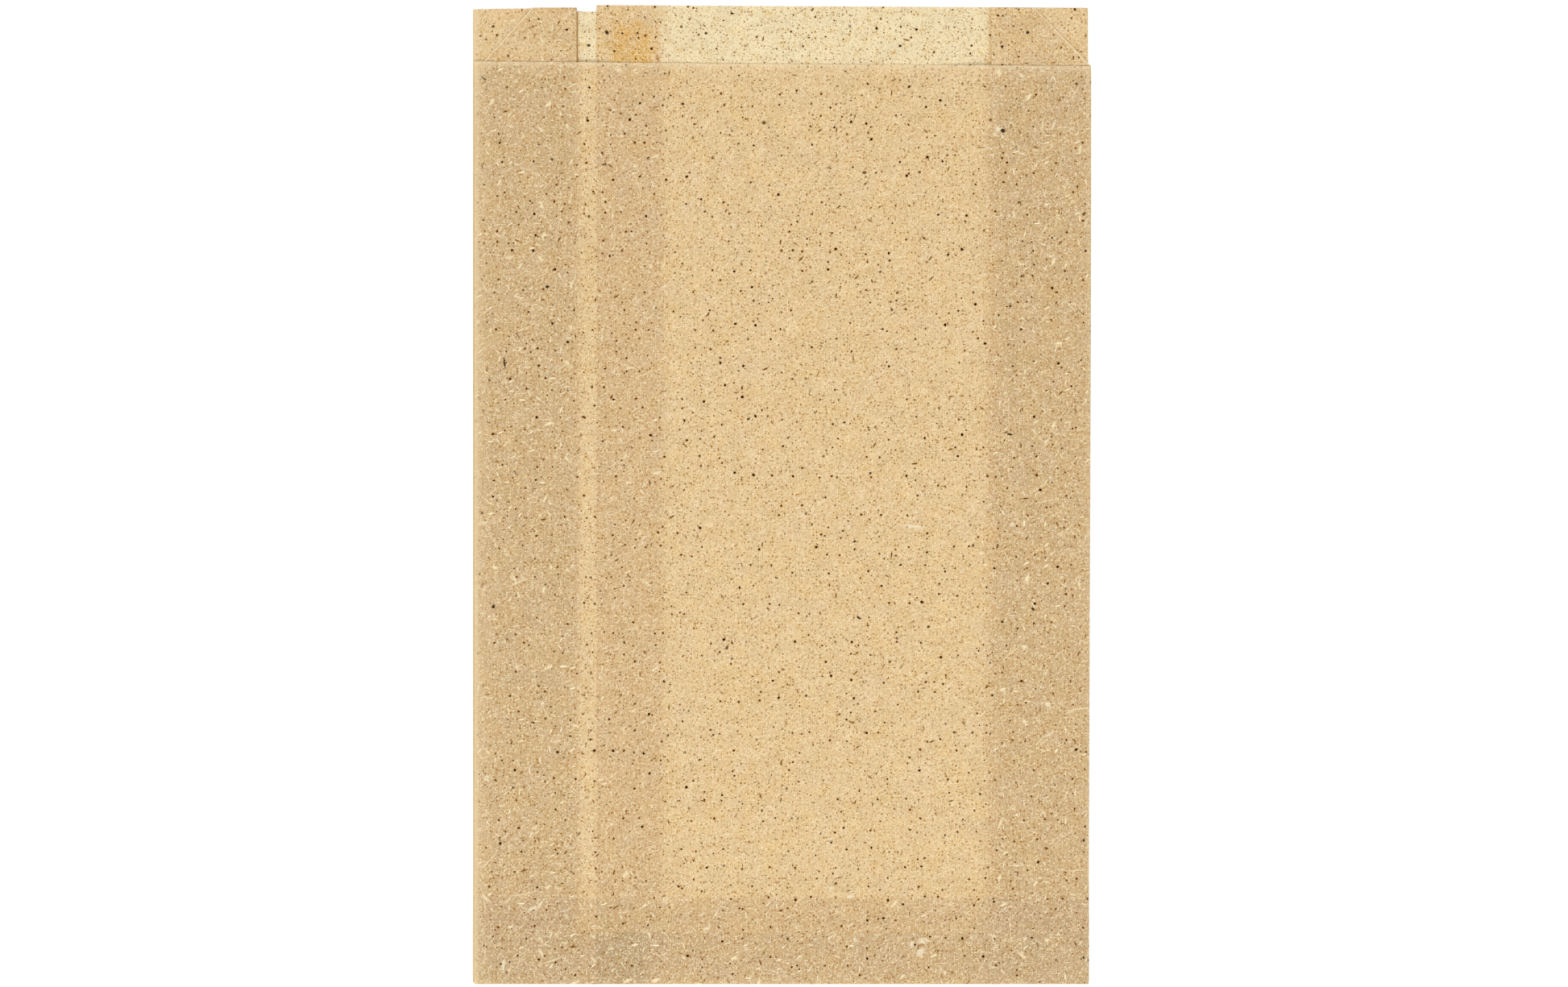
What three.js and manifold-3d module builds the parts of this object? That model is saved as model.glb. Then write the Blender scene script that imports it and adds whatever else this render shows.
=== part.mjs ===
// A flat, side-gusseted paper bag, folded and glued from one sheet.
//
// The bag lies on its back, pressed flat as it comes off the stack. +X points to the bag's right,
// +Y from the folded bottom to the open mouth, +Z up out of the front panel. The origin is in the
// middle of the bag's width and length, on the surface that the bag lies on. Millimetres.
//
// The sheet runs round the bag in one piece: from the outer edge of the back seam to the left side
// fold, in and out along the left gusset, across the front panel, in and out along the right gusset
// and across the back to the inner edge of the seam. The bottom end of that flat tube is folded
// over to the back, where a lip of the front panel is glued down.
import * as THREE from "three";
import { mergeVertices } from "three/addons/utils/BufferGeometryUtils.js";
import Module from "manifold-3d";

// Overall size
const bagWidth = 120; // over the side folds, at the mouth
const bagLength = 190; // from the bottom fold to the highest point of the back's cut edge

// The sheet and the spaces that stay between its plies
const paper = 0.1;
const bottomGap = 0.06; // air between plies where the bottom is creased
const bodyGap = 0.25; // air between plies further up
const creaseRadius = 0.1; // inside radius of the bottom fold
const seamGlue = 0.02;
const glueBite = paper / 5; // how far a glue line reaches into the paper on each side
const lipClear = 0.05; // air between the turned-over wings and the back panel above them

// Side folds and gussets
const leftGusset = 20.2; // depth of the left gusset, from side fold to inner fold
const rightGusset = 18.8;
const frontInsetLeft = 0.3; // the front's left fold lies this far inside the back's
const backInsetRight = 0.6; // the back's right fold lies this far inside the front's
const frontTaper = 0.45; // the front's right fold comes in by this much towards the bottom
const sagRun = 12; // the front panel settles over this distance, past each gusset

// Back seam
const seamPastGusset = 3.8; // a single ply shows between the left gusset and the seam
const seamOverlap = 12.8;
const seamClear = 0.15; // the upper ply stays level this far past the lower ply's edge
const seamDropRun = 2; // and comes down beside it over this distance
const seamGlueMargin = 1.6; // the glue line stays this far inside the overlap

// Bottom, turned over to the back
const flapLength = 10; // all plies, from the bottom fold to their cut edge
const lipReach = 7.2; // the front panel's lip reaches this far past the other plies
const lipGlueMargin = 0.7; // the lip's glue line ends this far inside the lip's cut edge
const lipGlueWidth = 2.2;
const drapeClear = 0.3; // the back panel stays level this far past a cut edge that it drops over
const lipDrapeRun = 4; // it comes down off the lip over this distance
const settleRun = 42; // the plies open to the body's gap over this distance, past the lip

// Mouth: the back stands above the front, and the gussets' front plies are cut at a slant
const mouthStep = 10.93; // the front's cut, below bagLength, at the left fold
const frontCutFall = 0.93; // the front's cut falls by this from left to right
const backCutFall = 0.5; // the back's cut falls by this from the seam to the right fold
const leftCutDrop = 0.8; // the left side fold ends this far below bagLength
const seamCutDrop = 1.56; // the seam's outer ply ends this far below bagLength
const leftSlantStart = 1.8; // the left slant starts this far in from the side fold
const leftSlantAngle = 48; // degrees from the front's cut
const rightSlantAngle = 46;
const mouthRows = 20; // rows of faces follow the cut edges over this length below them

// How finely the folds are faceted
const foldFaces = 4; // faces round one ply's fold
const creaseFaces = 8; // faces round the bottom fold
const rampFaces = 4; // faces along a soft step

const halfWidth = bagWidth / 2;
const bottomY = -bagLength / 2;
const stackHeight = paper + 3 * (paper + bottomGap); // four plies, where the bottom is creased
const creaseZ = creaseRadius + stackHeight; // height of the line that the bottom folds round
const wingHeight = paper + (paper + bottomGap); // lip and wing, as they lie on the surface
const lipRest = wingHeight + lipClear; // height of the back panel's underside over the lip
const lipLength = flapLength + lipReach; // from the bottom fold to the lip's cut edge
const lipGlueEnd = lipLength - lipGlueMargin;
const lipGlueStart = lipGlueEnd - lipGlueWidth;
const frontCutLeft = bagLength - mouthStep;
const frontCutRight = frontCutLeft - frontCutFall;
const fullCut = bagLength - backCutFall; // the gussets' full-height plies and the right side fold
const mouthRowsStart = frontCutLeft - mouthRows;
const radians = Math.PI / 180;

const lerp = THREE.MathUtils.lerp;
const smooth = THREE.MathUtils.smoothstep;

// Positions across the bag
const leftBackFold = -halfWidth;
const leftFrontFold = -halfWidth + frontInsetLeft;
const rightBackFold = halfWidth - backInsetRight;
const leftInnerFold = leftBackFold + leftGusset;
const rightInnerFold = rightBackFold - rightGusset;
const seamInner = leftInnerFold + seamPastGusset;
const seamOuter = seamInner + seamOverlap;
const rightFrontFold = (up) => halfWidth - frontTaper * (1 - smooth(up, 0, frontCutRight));

// How far the plies have opened, from 0 at the creased bottom to 1 in the body
const settleStart = lipLength + drapeClear;
const settled = (up) => smooth(up, settleStart, settleStart + settleRun);
const pitchAt = (up) => paper + lerp(bottomGap, bodyGap, settled(up));

// Height of the middle of each ply above the underside of the stack, at a place across and up
function frontHeight(x, up) {
  const flat = paper / 2 + 3 * pitchAt(up);
  const onSeam = paper / 2 + paper + seamGlue + pitchAt(up);
  const inside = Math.min(
    smooth(x, leftInnerFold, leftInnerFold + sagRun),
    1 - smooth(x, rightInnerFold - sagRun, rightInnerFold),
  );
  return lerp(flat, onSeam, inside * settled(up));
}
function backRightHeight(x) {
  const down = smooth(x, seamOuter + seamClear, seamOuter + seamClear + seamDropRun);
  return paper / 2 + (paper + seamGlue) * (1 - down);
}

// Height of the stack's underside above the surface that the bag lies on
function restHeight(up) {
  const overFlap = creaseZ + creaseRadius;
  const flapStep = smooth(up, flapLength + drapeClear, lipGlueStart);
  const lipStep = smooth(up, lipLength + drapeClear, lipLength + drapeClear + lipDrapeRun);
  return lerp(lerp(overFlap, lipRest, flapStep), 0, lipStep);
}

// Puts a point of the flat tube, x across and h above its underside, into the folded bag. A row
// says where it is along the tube: up the body, round the bottom crease or along the turned-over
// flap.
function fold(x, h, row) {
  const radius = creaseRadius + h;
  if (row.zone === "body") return [x, bottomY + row.up, restHeight(row.up) + h];
  if (row.zone === "flap") return [x, bottomY + row.along, creaseZ - radius];
  return [
    x,
    bottomY + creaseZ - radius * Math.sin(row.angle),
    creaseZ + radius * Math.cos(row.angle),
  ];
}

// A straight stretch of the section, between two folds. at(up) gives a point and its normal.
const stretch = (xs, heightAt, facing) =>
  xs.map((x) => ({
    at: (up) => {
      const place = typeof x === "function" ? x(up) : x;
      return { x: place, h: heightAt(place, up), nx: 0, nh: facing };
    },
  }));

// A fold of one ply, round a centre halfway between two plies. side is -1 for a fold that points
// left and 1 for one that points right, lower is the number of plies under it, and rising says
// whether the path runs up or down round it. outward says which side of the paper is the outside.
function turn(edge, side, lower, rising, outward) {
  const points = [];
  for (let i = 1; i < foldFaces; i++) {
    const share = i / foldFaces;
    const angle = Math.PI * (rising ? share - 0.5 : 0.5 - share);
    points.push({
      at: (up) => {
        const pitch = pitchAt(up);
        const radius = pitch / 2;
        const centre = edge(up) - side * (radius + paper / 2);
        return {
          x: centre + side * radius * Math.cos(angle),
          h: paper / 2 + (lower + 0.5) * pitch + radius * Math.sin(angle),
          nx: outward * side * Math.cos(angle),
          nh: outward * Math.sin(angle),
        };
      },
    });
  }
  return points;
}

// Where a straight stretch meets a fold, for the fold's outermost edge
const foldStart = (edge, side) => (up) => edge(up) - side * (pitchAt(up) + paper) / 2;

// Fractions for a soft step between two places
const soften = (from, to) =>
  Array.from({ length: rampFaces + 1 }, (_, i) => lerp(from, to, i / rampFaces));

const fixed = (x) => () => x;
const plyHeight = (plies) => (x, up) => paper / 2 + plies * pitchAt(up);

// The section round the bag, ply by ply, with each station's cut edge at the mouth and at the
// bottom end. cut and end are heights above the bottom fold.
function sectionRound() {
  const slantLeft = leftFrontFold + leftSlantStart;
  const slantLeftTop = slantLeft + (fullCut - frontCutLeft) / Math.tan(leftSlantAngle * radians);
  const slantRightTop = halfWidth - (fullCut - frontCutRight) / Math.tan(rightSlantAngle * radians);
  const wing = lipReach; // the turned-over wings are cut at 45 degrees
  const across = (x, from, to) => THREE.MathUtils.clamp((x - from) / (to - from), 0, 1);

  const ply = (stations, cut, end) =>
    stations.map((station) => ({
      ...station,
      cut: cut(station.at(bagLength).x),
      end: end(station.at(0).x),
    }));
  const flapCut = () => flapLength;

  return [
    ...ply(
      stretch(
        [seamOuter, seamInner, leftInnerFold, foldStart(fixed(leftBackFold), -1)],
        plyHeight(0),
        -1,
      ),
      (x) => bagLength - lerp(leftCutDrop, seamCutDrop, across(x, leftBackFold, seamOuter)),
      flapCut,
    ),
    ...ply(
      [
        ...turn(fixed(leftBackFold), -1, 0, true, 1),
        ...stretch(
          [foldStart(fixed(leftBackFold), -1), foldStart(fixed(leftInnerFold), 1)],
          plyHeight(1),
          1,
        ),
      ],
      (x) => lerp(bagLength - leftCutDrop, fullCut, across(x, leftBackFold, leftInnerFold)),
      flapCut,
    ),
    ...ply(turn(fixed(leftInnerFold), 1, 1, true, -1), () => fullCut, flapCut),
    ...ply(
      [
        ...stretch(
          [
            foldStart(fixed(leftInnerFold), 1),
            ...[slantLeftTop, leftFrontFold + wing, slantLeft].sort((a, b) => b - a),
            foldStart(fixed(leftFrontFold), -1),
          ],
          plyHeight(2),
          -1,
        ),
        ...turn(fixed(leftFrontFold), -1, 2, true, 1),
      ],
      (x) => lerp(frontCutLeft, fullCut, across(x, slantLeft, slantLeftTop)),
      (x) => lerp(lipLength, flapLength, across(x, leftFrontFold, leftFrontFold + wing)),
    ),
    ...ply(
      stretch(
        [
          foldStart(fixed(leftFrontFold), -1),
          ...soften(leftInnerFold, leftInnerFold + sagRun),
          ...soften(rightInnerFold - sagRun, rightInnerFold),
          foldStart(rightFrontFold, 1),
        ],
        frontHeight,
        1,
      ),
      (x) => lerp(frontCutLeft, frontCutRight, across(x, leftFrontFold, halfWidth)),
      () => lipLength,
    ),
    ...ply(
      [
        ...turn(rightFrontFold, 1, 2, false, 1),
        ...stretch(
          [
            foldStart(rightFrontFold, 1),
            ...[rightFrontFold(0) - wing, slantRightTop].sort((a, b) => b - a),
            foldStart(fixed(rightInnerFold), -1),
          ],
          plyHeight(2),
          -1,
        ),
      ],
      (x) => lerp(fullCut, frontCutRight, across(x, slantRightTop, halfWidth)),
      (x) => lerp(flapLength, lipLength, across(x, rightFrontFold(0) - wing, rightFrontFold(0))),
    ),
    ...ply(
      [
        ...turn(fixed(rightInnerFold), -1, 1, false, -1),
        ...stretch(
          [foldStart(fixed(rightInnerFold), -1), foldStart(fixed(rightBackFold), 1)],
          plyHeight(1),
          1,
        ),
        ...turn(fixed(rightBackFold), 1, 0, false, 1),
      ],
      () => fullCut,
      flapCut,
    ),
    ...ply(
      stretch(
        [
          foldStart(fixed(rightBackFold), 1),
          rightInnerFold,
          ...soften(seamOuter + seamClear + seamDropRun, seamOuter + seamClear),
          seamInner,
        ],
        backRightHeight,
        -1,
      ),
      (x) => lerp(bagLength, fullCut, across(x, seamInner, rightBackFold)),
      flapCut,
    ),
  ];
}

// The rows along the tube, from the flap's end over the bottom crease to the mouth. A share is
// part of the way to the station's own cut edge.
function rowsAlong() {
  const flap = [1, 0.5].map((share) => ({ zone: "flap", share }));
  const crease = Array.from({ length: creaseFaces + 1 }, (_, i) => ({
    zone: "crease",
    angle: Math.PI * (1 - i / creaseFaces),
  }));
  const heights = [
    ...soften(flapLength + drapeClear, lipGlueStart),
    ...soften(lipLength + drapeClear, lipLength + drapeClear + lipDrapeRun),
    ...soften(settleStart, settleStart + settleRun),
    mouthRowsStart,
  ];
  const body = [...new Set(heights)].sort((a, b) => a - b).map((up) => ({ zone: "body", up }));
  const mouth = [0.5, 1].map((share) => ({ zone: "mouth", share }));
  return [...flap, ...crease, ...body, ...mouth];
}

// A row as one station meets it: the shares become real heights
function rowAt(row, cut, end) {
  if (row.zone === "flap") return { zone: "flap", along: lerp(creaseZ, end, row.share) };
  if (row.zone !== "mouth") return row;
  return { zone: "body", up: lerp(mouthRowsStart, cut, row.share) };
}
const upOf = (row) => (row.zone === "body" ? row.up : 0);

// A closed slab whose corners along, across and through it are placed by a function
function slab(columns, rows, place) {
  const geometry = new THREE.BoxGeometry(columns, rows, 1, columns, rows, 1);
  geometry.deleteAttribute("normal");
  geometry.deleteAttribute("uv");
  const merged = mergeVertices(geometry);
  const position = merged.getAttribute("position");
  for (let i = 0; i < position.count; i++) {
    const column = Math.round(position.getX(i) + columns / 2);
    const row = Math.round(position.getY(i) + rows / 2);
    const outside = position.getZ(i) > 0;
    position.setXYZ(i, ...place(column, row, outside));
  }
  return merged;
}

const section = sectionRound();
const rows = rowsAlong();

function sheetGeometry() {
  return slab(section.length - 1, rows.length - 1, (column, row, outside) => {
    const station = section[column];
    const here = rowAt(rows[row], station.cut, station.end);
    const point = station.at(upOf(here));
    const offset = (outside ? 1 : -1) * (paper / 2);
    return fold(point.x + point.nx * offset, point.h + point.nh * offset, here);
  });
}

// The glue line down the seam, between its two plies, from the mouth round to the flap's end
function seamGlueGeometry() {
  const from = seamInner + seamGlueMargin;
  const to = seamOuter - seamGlueMargin;
  const cut = bagLength - seamCutDrop - seamGlueMargin;
  const end = flapLength - seamGlueMargin;
  return slab(1, rows.length - 1, (column, row, outside) => {
    const x = column ? to : from;
    const h = outside ? paper + seamGlue + glueBite : paper - glueBite;
    return fold(x, h, rowAt(rows[row], cut, end));
  });
}

// The glue line across the lip, between it and the back panel that lies over it
function lipGlueGeometry() {
  const width = bagWidth - 2 * lipReach;
  const height = lipRest - paper + 2 * glueBite;
  const geometry = new THREE.BoxGeometry(width, lipGlueWidth, height);
  geometry.translate(0, bottomY + lipGlueEnd - lipGlueWidth / 2, paper - glueBite + height / 2);
  return geometry;
}

const wasm = await Module();
wasm.setup();

function solidFrom(geometry) {
  geometry.deleteAttribute("normal");
  geometry.deleteAttribute("uv");
  const merged = mergeVertices(geometry);
  return new wasm.Manifold(
    new wasm.Mesh({
      numProp: 3,
      vertProperties: merged.getAttribute("position").array,
      triVerts: new Uint32Array(merged.index.array),
    }),
  );
}

function geometryFrom(solid) {
  const mesh = solid.getMesh();
  const geometry = new THREE.BufferGeometry();
  geometry.setAttribute("position", new THREE.BufferAttribute(mesh.vertProperties, 3));
  geometry.setIndex(new THREE.BufferAttribute(mesh.triVerts, 1));
  geometry.computeVertexNormals();
  return geometry;
}

// The folded sheet, closed by its two glue lines
const glued = solidFrom(sheetGeometry())
  .add(solidFrom(seamGlueGeometry()))
  .add(solidFrom(lipGlueGeometry()));

const grassPaper = new THREE.MeshStandardMaterial({
  color: 0xdcc18f,
  roughness: 0.9,
  metalness: 0,
  side: THREE.DoubleSide,
});

const paperBag = new THREE.Mesh(geometryFrom(glued), grassPaper);
paperBag.name = "paper_bag";

const bag = new THREE.Group();
bag.add(paperBag);

export default bag;
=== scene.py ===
# %% [markdown]
# # A flat paper bag
#
# This lesson dresses one flat, side-gusseted paper bag. The real one is a single sheet of thin
# paper made partly of grass and straw, folded on a machine into a flat tube, glued down one seam
# at the back, and turned over and glued at the bottom. Two things make its look: how many plies
# lie over each other at each place, because the paper lets light through, and the thousands of
# plant fibres in it.
#
# ## The frame
#
# The bag's solid is loaded first, as a fixed frame. Its mesh could be painted as it is, but its
# folds are plain, so only its box is taken from it: the dressed sheet is built to the same width
# and length and in the same place.

# %% Load the frame
import math

import bpy
import numpy as np
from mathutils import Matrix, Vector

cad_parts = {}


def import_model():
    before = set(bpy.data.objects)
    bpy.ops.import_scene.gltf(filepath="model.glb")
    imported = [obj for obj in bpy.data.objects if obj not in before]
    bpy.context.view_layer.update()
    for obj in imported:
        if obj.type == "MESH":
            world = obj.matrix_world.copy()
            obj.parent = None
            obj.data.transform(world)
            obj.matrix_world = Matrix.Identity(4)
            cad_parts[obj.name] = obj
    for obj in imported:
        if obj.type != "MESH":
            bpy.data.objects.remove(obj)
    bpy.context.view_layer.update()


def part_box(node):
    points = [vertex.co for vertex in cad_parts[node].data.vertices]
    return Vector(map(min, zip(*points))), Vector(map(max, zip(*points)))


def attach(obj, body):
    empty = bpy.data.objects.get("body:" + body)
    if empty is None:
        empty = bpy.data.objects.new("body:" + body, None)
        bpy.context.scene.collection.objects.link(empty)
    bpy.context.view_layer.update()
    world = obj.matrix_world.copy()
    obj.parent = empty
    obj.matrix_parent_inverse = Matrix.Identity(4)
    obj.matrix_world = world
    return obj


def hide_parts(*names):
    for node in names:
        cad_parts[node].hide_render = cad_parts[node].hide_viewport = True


MM = 0.001  # metres
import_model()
bag_low, bag_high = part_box("paper_bag")
bag_width = (bag_high[0] - bag_low[0]) / MM
bag_length = (bag_high[1] - bag_low[1]) / MM
half_width = bag_width / 2
print("bag, mm:", round(bag_width, 2), "wide,", round(bag_length, 2), "long")

# %% [markdown]
# ## Camera
#
# The bag was photographed from straight above. A short lens close by would spread the side folds,
# so a long lens well away from the bag keeps them as straight and parallel as they are on the
# real one. One pixel of the photograph is a fixed length on the bag, and the camera's distance
# follows from that length, the lens and the width of the picture.

# %% Camera
PHOTO_WIDE, PHOTO_HIGH = 1946, 1225
BAG_LEFT, BAG_RIGHT = 586.5, 1354.4  # pixels, at the side folds
BAG_TOP, BAG_BOTTOM = 5.5, 1222.3  # pixels, at the mouth and the bottom fold
LENS, SENSOR = 135.0, 36.0  # mm
FARTHEST_SEEN = 20  # metres
pixel = bag_width / (BAG_RIGHT - BAG_LEFT)  # mm

camera_data = bpy.data.cameras.new("camera")
camera_data.lens = LENS
camera_data.sensor_width = SENSOR
camera_data.clip_end = FARTHEST_SEEN
camera = bpy.data.objects.new("camera", camera_data)
bpy.context.collection.objects.link(camera)
camera.location = (
    (PHOTO_WIDE / 2 - (BAG_LEFT + BAG_RIGHT) / 2) * pixel * MM,
    ((BAG_TOP + BAG_BOTTOM) / 2 - PHOTO_HIGH / 2) * pixel * MM,
    bag_high[2] + PHOTO_WIDE * pixel * MM * LENS / SENSOR,
)
bpy.context.scene.camera = camera
print("one pixel, mm:", round(pixel, 4), "camera height, m:", round(camera.location.z, 3))

# %% [markdown]
# ## The sheet's sizes
#
# A bag machine sets a few sizes: the depth of each gusset, the width of the glued seam, the
# length of the turned-over bottom and the step at the mouth. All are in millimetres, measured
# from the bottom fold upwards and from the middle of the bag outwards. They could be typed in as
# finished places, but then a change of one size would leave the others behind, so every place is
# worked out from them.

# %% The paper
PAPER = 0.1  # thick, for about 60 g/m2
SEAM_GLUE = 0.02
CREASE_RADIUS = 0.1  # inside the bottom crease
BOTTOM_GAP = 0.06  # air between the plies where they are creased hard
BODY_GAP = 0.25  # where they spring open
MOUTH_GAP = 0.10  # where the knife pressed them together
LIP_AIR = 0.05  # under the lip of the turned-over bottom
stack_height = PAPER + 3 * (PAPER + BOTTOM_GAP)
crease_z = CREASE_RADIUS + stack_height
lip_rest = 2 * PAPER + BOTTOM_GAP + LIP_AIR
print("four plies creased to", round(stack_height, 2), "mm")

# %% Across the bag
LEFT_GUSSET, RIGHT_GUSSET = 20.2, 18.8  # deep
FRONT_INSET_LEFT, BACK_INSET_RIGHT = 0.3, 0.6  # the side folds don't lie quite over each other
FRONT_TAPER = 0.45  # the front's right fold leans in by this at the bottom
SEAM_PAST_GUSSET, SEAM_OVERLAP = 3.8, 12.8
left_back = -half_width
left_front = left_back + FRONT_INSET_LEFT
right_back = half_width - BACK_INSET_RIGHT
left_inner = left_back + LEFT_GUSSET
right_inner = right_back - RIGHT_GUSSET
seam_inner = left_inner + SEAM_PAST_GUSSET
seam_outer = seam_inner + SEAM_OVERLAP
print("back seam from", round(seam_inner, 1), "to", round(seam_outer, 1), "mm")

# %% Along the bag
FLAP, LIP = 10.0, 17.2  # turned over to the back: all the plies, and the front panel alone
MOUTH_STEP = 10.93  # the front panel is cut this much shorter
FRONT_CUT_FALL, BACK_CUT_FALL = 0.93, 0.5  # the knives stood a little askew
LEFT_CUT_DROP, SEAM_CUT_DROP = 0.8, 1.56
full_cut = bag_length - BACK_CUT_FALL
front_cut_left = bag_length - MOUTH_STEP
front_cut_right = front_cut_left - FRONT_CUT_FALL
print("front panel cut at", round(front_cut_left, 1), "mm, gussets at", round(full_cut, 1), "mm")

# %% [markdown]
# ## How the plies lie
#
# At the bottom crease the plies are pressed hard together. Further up they spring open a little,
# and the front panel settles into the hollow between the two gussets, which are four plies thick.
# Cloth simulation could find such a shape, but it blurs sharp folds and lets plies this thin pass
# through each other. A height for each ply, as a function of the place, keeps them apart.


# %% Soft steps
def lerp(a, b, t):
    """a where t is 0, b where t is 1."""
    return a + (b - a) * t


def share(x, low, high):
    """How far x has come from low to high, from 0 to 1."""
    return np.clip((np.asarray(x, float) - low) / (high - low), 0, 1)


def smooth(x, low, high):
    """The same share, but level at both ends."""
    t = share(x, low, high)
    return t * t * (3 - 2 * t)


print("a quarter of the way up a soft step:", round(float(smooth(0.25, 0, 1)), 3))

# %% Air between the plies
DRAPE_CLEAR = 0.3  # past the lip, before the bag comes down to the table
SETTLE_RUN = 42.0  # over which the plies open
PRESSED_FROM, PRESSED_TO = 30, 4  # below the front's cut


def settled(up):
    """0 by the creased bottom, 1 where the plies lie loose."""
    return smooth(up, LIP + DRAPE_CLEAR, LIP + DRAPE_CLEAR + SETTLE_RUN)


def pitch_at(up):
    """From the middle of one ply to the middle of the next."""
    pressed = smooth(up, front_cut_right - PRESSED_FROM, front_cut_right - PRESSED_TO)
    return PAPER + lerp(lerp(BOTTOM_GAP, BODY_GAP, settled(up)), MOUTH_GAP, pressed)


print("pitch, mm:", [round(float(pitch_at(up)), 2) for up in (0, bag_length / 2, bag_length)])

# %% Height of each ply
NEAR_SHARE = 0.4  # in the middle the front panel comes this close to the back, as a share of the gap
SAG_RUN = 12.0  # from a gusset's inner fold to where the front panel has settled
SEAM_CLEAR, SEAM_DROP_RUN = 0.15, 2.0  # where the back comes down beside the seam's edge


def ply_height(plies_below):
    return lambda x, up: PAPER / 2 + plies_below * pitch_at(up)


def front_height(x, up):
    on_gussets = PAPER / 2 + 3 * pitch_at(up)
    on_back = PAPER / 2 + PAPER + NEAR_SHARE * (pitch_at(up) - PAPER)
    past_seam = smooth(x, seam_outer + SEAM_CLEAR, seam_outer + SEAM_CLEAR + SAG_RUN)
    settled_on = on_back + (PAPER + SEAM_GLUE) * (1 - past_seam)
    inside = np.minimum(
        smooth(x, left_inner, left_inner + SAG_RUN),
        1 - smooth(x, right_inner - SAG_RUN, right_inner),
    )
    return lerp(on_gussets, settled_on, inside * settled(up))


def back_right_height(x, up):
    down = smooth(x, seam_outer + SEAM_CLEAR, seam_outer + SEAM_CLEAR + SEAM_DROP_RUN)
    return PAPER / 2 + (PAPER + SEAM_GLUE) * (1 - down)


print("front panel over the middle, mm:", round(float(front_height(0, bag_length / 2)), 2))

# %% [markdown]
# ### Lying on the table
#
# The whole stack lies on its own turned-over bottom and comes down to the table in two soft steps,
# one past the turned-over plies and one past the lip. Thin paper never lies dead flat either: long
# shallow waves lift it a fraction of a millimetre. Noise could move each point, but the same sum
# of a few sine waves for every ply keeps the plies clear of each other.

# %% Rest and waves
LIP_GLUE_START = 14.3
LIP_DRAPE_RUN = 4.0
WAVE = 0.22  # each side of its middle
WAVE_RISE = 60  # past the lip, over which the waves grow
WAVES = [(0.071, 0.031, 0.4), (-0.043, 0.052, 1.9), (0.022, 0.088, 4.1), (0.118, -0.019, 2.6)]
DRAPE_START = LIP + DRAPE_CLEAR


def rest_height(up):
    flap_step = smooth(up, FLAP + DRAPE_CLEAR, LIP_GLUE_START)
    lip_step = smooth(up, DRAPE_START, DRAPE_START + LIP_DRAPE_RUN)
    return lerp(lerp(crease_z + CREASE_RADIUS, lip_rest, flap_step), 0, lip_step)


def wave(x, up):
    lift = sum(np.sin(a * x + b * up + c) for a, b, c in WAVES) / len(WAVES)
    return WAVE * (1 + lift) * smooth(up, DRAPE_START, DRAPE_START + WAVE_RISE)


print("lifted over the lip by", round(float(rest_height(FLAP)), 2), "mm, waves up to", 2 * WAVE, "mm")

# %% [markdown]
# ## The section round the bag
#
# The real sheet goes once round the bag. It could be five flat panels, but then the folds would
# have gaps. So it is followed as a fly would walk it: from the outer edge of the seam to the left
# side fold, in and out along the left gusset, across the front, in and out along the right gusset
# and across the back to the inner edge of the seam. Straight stretches get a point every few
# millimetres, and each fold is a half circle between two plies. A point of this walk is called a
# station: it gives its place, its height and which way the sheet's outer face looks, for any
# height up the bag.

# %% Straight stretches
SPACING = 3.0  # between points along the sheet
LEFT, RIGHT = -1, 1  # a side of the bag
DOWN, UP = -1, 1  # where the sheet's outer face looks


def steps(start, end, spacing=SPACING):
    n = max(1, round(abs(end - start) / spacing))
    return [lerp(start, end, i / n) for i in range(n + 1)]


def stretch(places, height, facing):
    """Stations along one ply. A place is a number or a function of the height up the bag."""

    def station(place):
        def at(up):
            x = place(up) if callable(place) else np.full_like(up, place)
            return x, height(x, up), np.zeros_like(up), np.full_like(up, facing)

        return at

    return [station(place) for place in places]


print("places from fold to fold of the left gusset:", len(steps(left_back, left_inner)))

# %% Folds
FOLD_FACES = 10


def fixed(x):
    """A fold that runs straight up the bag."""
    return lambda up: x


def right_front(up):
    """The front's right fold, which leans in towards the bottom."""
    return half_width - FRONT_TAPER * (1 - smooth(up, 0, front_cut_right))


def fold_start(edge, side):
    """Where a ply bends into the fold whose outermost line is at edge."""
    return lambda up: edge(up) - side * (pitch_at(up) + PAPER) / 2


def turn(edge, side, plies_below, rising, outward):
    """Stations round a fold at edge. outward is 1 where the sheet's outer face is outside, or -1."""

    def station(angle):
        def at(up):
            pitch = pitch_at(up)
            x = edge(up) - side * (pitch + PAPER) / 2 + side * pitch / 2 * math.cos(angle)
            height = PAPER / 2 + (plies_below + 0.5) * pitch + pitch / 2 * math.sin(angle)
            sideways = np.full_like(up, outward * side * math.cos(angle))
            return x, height, sideways, np.full_like(up, outward * math.sin(angle))

        return at

    shares = [i / FOLD_FACES for i in range(1, FOLD_FACES)]
    return [station(math.pi * ((s - 0.5) if rising else (0.5 - s))) for s in shares]


print("right fold of the front, mm:", [round(float(right_front(up)), 2) for up in (0, bag_length)])


# %% Cutting to length
def height_at(limit, x):
    """A cut is one height, or a function of the place across the bag."""
    return float(limit(x)) if callable(limit) else limit


def cut_off(stations, cut, end):
    """Adds to each station where it is cut, at the mouth and at the turned-over bottom end."""
    top, low = np.array([bag_length]), np.array([0.0])
    return [(at, height_at(cut, at(top)[0][0]), height_at(end, at(low)[0][0])) for at in stations]


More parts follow.
